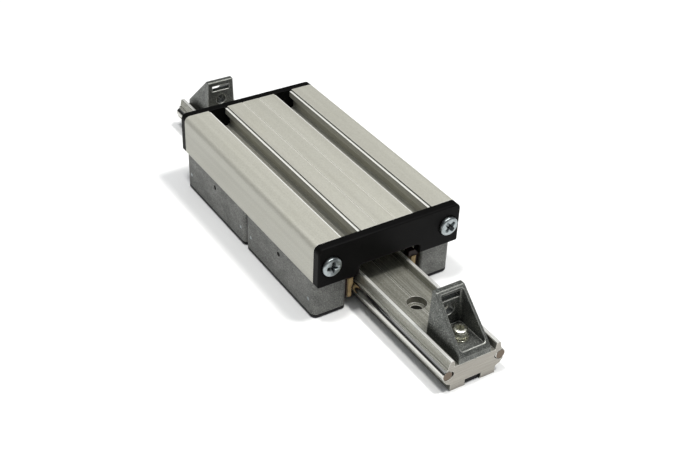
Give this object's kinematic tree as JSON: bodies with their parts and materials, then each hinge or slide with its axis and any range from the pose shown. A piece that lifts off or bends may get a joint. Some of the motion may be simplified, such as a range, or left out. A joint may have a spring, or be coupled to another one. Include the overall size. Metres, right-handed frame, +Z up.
{
  "type": "linear guide carriage",
  "caption": "Roller-guided carriage with a slotted aluminium table, running on a twin-rod aluminium rail between two end-stop brackets.",
  "frame": {"origin": "centre of the rail's underside", "axes": "+X along the rail towards the front end stop, +Y to the left across it, +Z up out of the table"},
  "size_m": [0.3, 0.09, 0.0484],
  "materials": {
    "rail_aluminium": "bare extruded aluminium, warm grey, with fine lines along its length",
    "table_aluminium": "satin natural anodised extrusion",
    "ground_steel": "hardened and ground rod",
    "die_cast": "tumbled pressure die casting",
    "housing_casting": "matt mottled pressure die casting",
    "black_plastic": "satin injection moulding",
    "cover_plastic": "matt injection moulding",
    "brown_plastic": "dark brown moulding",
    "cage_plastic": "moulded polyamide",
    "zinc_steel": "bright zinc plate",
    "yellow_zinc_steel": "pale yellow zinc plate",
    "bearing_steel": "ground bearing steel",
    "bearing_shield": "pressed sheet steel",
    "bearing_ball": "polished",
    "felt": "tan oiled felt"
  },
  "bodies": {
    "rail": {"rail_profile": "rail_aluminium", "rail_base_strip": "cover_plastic", "guide_rod_left": "ground_steel", "guide_rod_right": "ground_steel", "stop_bracket_front": "die_cast", "stop_bracket_rear": "die_cast", "stop_screws": "yellow_zinc_steel", "stop_washers": "yellow_zinc_steel"},
    "carriage": {"table_profile": "table_aluminium", "end_cap_front": "black_plastic", "end_cap_rear": "black_plastic", "end_cap_screws": "zinc_steel", "bearing_housing_front_left": "housing_casting", "bottom_cover_front_left": "cover_plastic", "bearing_housing_front_right": "housing_casting", "bottom_cover_front_right": "cover_plastic", "bearing_housing_rear_left": "housing_casting", "bottom_cover_rear_left": "cover_plastic", "bearing_housing_rear_right": "housing_casting", "bottom_cover_rear_right": "cover_plastic", "cover_pins": "zinc_steel", "wiper_felts": "felt", "wiper_holders": "brown_plastic", "housing_screws": "zinc_steel", "roller_inner_rings": "bearing_steel", "concentric_studs": "zinc_steel", "eccentric_studs": "zinc_steel"},
    "roller_left_1": {"roller_ring_left_1": "bearing_steel", "roller_shields_left_1": "bearing_shield"},
    "balls_left_1": {"ball_set_left_1": "bearing_ball", "ball_cage_left_1": "cage_plastic"},
    "roller_left_2": {"roller_ring_left_2": "bearing_steel", "roller_shields_left_2": "bearing_shield"},
    "balls_left_2": {"ball_set_left_2": "bearing_ball", "ball_cage_left_2": "cage_plastic"},
    "roller_left_3": {"roller_ring_left_3": "bearing_steel", "roller_shields_left_3": "bearing_shield"},
    "balls_left_3": {"ball_set_left_3": "bearing_ball", "ball_cage_left_3": "cage_plastic"},
    "roller_left_4": {"roller_ring_left_4": "bearing_steel", "roller_shields_left_4": "bearing_shield"},
    "balls_left_4": {"ball_set_left_4": "bearing_ball", "ball_cage_left_4": "cage_plastic"},
    "roller_right_1": {"roller_ring_right_1": "bearing_steel", "roller_shields_right_1": "bearing_shield"},
    "balls_right_1": {"ball_set_right_1": "bearing_ball", "ball_cage_right_1": "cage_plastic"},
    "roller_right_2": {"roller_ring_right_2": "bearing_steel", "roller_shields_right_2": "bearing_shield"},
    "balls_right_2": {"ball_set_right_2": "bearing_ball", "ball_cage_right_2": "cage_plastic"},
    "roller_right_3": {"roller_ring_right_3": "bearing_steel", "roller_shields_right_3": "bearing_shield"},
    "balls_right_3": {"ball_set_right_3": "bearing_ball", "ball_cage_right_3": "cage_plastic"},
    "roller_right_4": {"roller_ring_right_4": "bearing_steel", "roller_shields_right_4": "bearing_shield"},
    "balls_right_4": {"ball_set_right_4": "bearing_ball", "ball_cage_right_4": "cage_plastic"}
  },
  "joints": [
    {"name": "carriage_slide", "type": "slide", "parent": "rail", "child": "carriage", "axis": [1, 0, 0], "range_m": [-0.0353, 0.0479]},
    {"name": "roller_spin_left_1", "type": "hinge", "parent": "carriage", "child": "roller_left_1", "pos_m": [0.0526, 0.0308, 0.0111], "axis": [0, 0, 1], "continuous": true},
    {"name": "ball_orbit_left_1", "type": "hinge", "parent": "carriage", "child": "balls_left_1", "pos_m": [0.0526, 0.0308, 0.0111], "axis": [0, 0, 1], "continuous": true},
    {"name": "roller_spin_left_2", "type": "hinge", "parent": "carriage", "child": "roller_left_2", "pos_m": [0.0106, 0.0308, 0.0111], "axis": [0, 0, 1], "continuous": true},
    {"name": "ball_orbit_left_2", "type": "hinge", "parent": "carriage", "child": "balls_left_2", "pos_m": [0.0106, 0.0308, 0.0111], "axis": [0, 0, 1], "continuous": true},
    {"name": "roller_spin_left_3", "type": "hinge", "parent": "carriage", "child": "roller_left_3", "pos_m": [-0.0232, 0.0308, 0.0111], "axis": [0, 0, 1], "continuous": true},
    {"name": "ball_orbit_left_3", "type": "hinge", "parent": "carriage", "child": "balls_left_3", "pos_m": [-0.0232, 0.0308, 0.0111], "axis": [0, 0, 1], "continuous": true},
    {"name": "roller_spin_left_4", "type": "hinge", "parent": "carriage", "child": "roller_left_4", "pos_m": [-0.0652, 0.0308, 0.0111], "axis": [0, 0, 1], "continuous": true},
    {"name": "ball_orbit_left_4", "type": "hinge", "parent": "carriage", "child": "balls_left_4", "pos_m": [-0.0652, 0.0308, 0.0111], "axis": [0, 0, 1], "continuous": true},
    {"name": "roller_spin_right_1", "type": "hinge", "parent": "carriage", "child": "roller_right_1", "pos_m": [0.0526, -0.0308, 0.0111], "axis": [0, 0, 1], "continuous": true},
    {"name": "ball_orbit_right_1", "type": "hinge", "parent": "carriage", "child": "balls_right_1", "pos_m": [0.0526, -0.0308, 0.0111], "axis": [0, 0, 1], "continuous": true},
    {"name": "roller_spin_right_2", "type": "hinge", "parent": "carriage", "child": "roller_right_2", "pos_m": [0.0106, -0.0308, 0.0111], "axis": [0, 0, 1], "continuous": true},
    {"name": "ball_orbit_right_2", "type": "hinge", "parent": "carriage", "child": "balls_right_2", "pos_m": [0.0106, -0.0308, 0.0111], "axis": [0, 0, 1], "continuous": true},
    {"name": "roller_spin_right_3", "type": "hinge", "parent": "carriage", "child": "roller_right_3", "pos_m": [-0.0232, -0.0308, 0.0111], "axis": [0, 0, 1], "continuous": true},
    {"name": "ball_orbit_right_3", "type": "hinge", "parent": "carriage", "child": "balls_right_3", "pos_m": [-0.0232, -0.0308, 0.0111], "axis": [0, 0, 1], "continuous": true},
    {"name": "roller_spin_right_4", "type": "hinge", "parent": "carriage", "child": "roller_right_4", "pos_m": [-0.0652, -0.0308, 0.0111], "axis": [0, 0, 1], "continuous": true},
    {"name": "ball_orbit_right_4", "type": "hinge", "parent": "carriage", "child": "balls_right_4", "pos_m": [-0.0652, -0.0308, 0.0111], "axis": [0, 0, 1], "continuous": true}
  ],
  "couplings": [
    {"joint": "roller_spin_left_1", "follows": "carriage_slide", "rad_per_m": -88.496},
    {"joint": "ball_orbit_left_1", "follows": "carriage_slide", "rad_per_m": -54.175},
    {"joint": "roller_spin_left_2", "follows": "carriage_slide", "rad_per_m": -88.496},
    {"joint": "ball_orbit_left_2", "follows": "carriage_slide", "rad_per_m": -54.175},
    {"joint": "roller_spin_left_3", "follows": "carriage_slide", "rad_per_m": -88.496},
    {"joint": "ball_orbit_left_3", "follows": "carriage_slide", "rad_per_m": -54.175},
    {"joint": "roller_spin_left_4", "follows": "carriage_slide", "rad_per_m": -88.496},
    {"joint": "ball_orbit_left_4", "follows": "carriage_slide", "rad_per_m": -54.175},
    {"joint": "roller_spin_right_1", "follows": "carriage_slide", "rad_per_m": 88.496},
    {"joint": "ball_orbit_right_1", "follows": "carriage_slide", "rad_per_m": 54.175},
    {"joint": "roller_spin_right_2", "follows": "carriage_slide", "rad_per_m": 88.496},
    {"joint": "ball_orbit_right_2", "follows": "carriage_slide", "rad_per_m": 54.175},
    {"joint": "roller_spin_right_3", "follows": "carriage_slide", "rad_per_m": 88.496},
    {"joint": "ball_orbit_right_3", "follows": "carriage_slide", "rad_per_m": 54.175},
    {"joint": "roller_spin_right_4", "follows": "carriage_slide", "rad_per_m": 88.496},
    {"joint": "ball_orbit_right_4", "follows": "carriage_slide", "rad_per_m": 54.175}
  ]
}
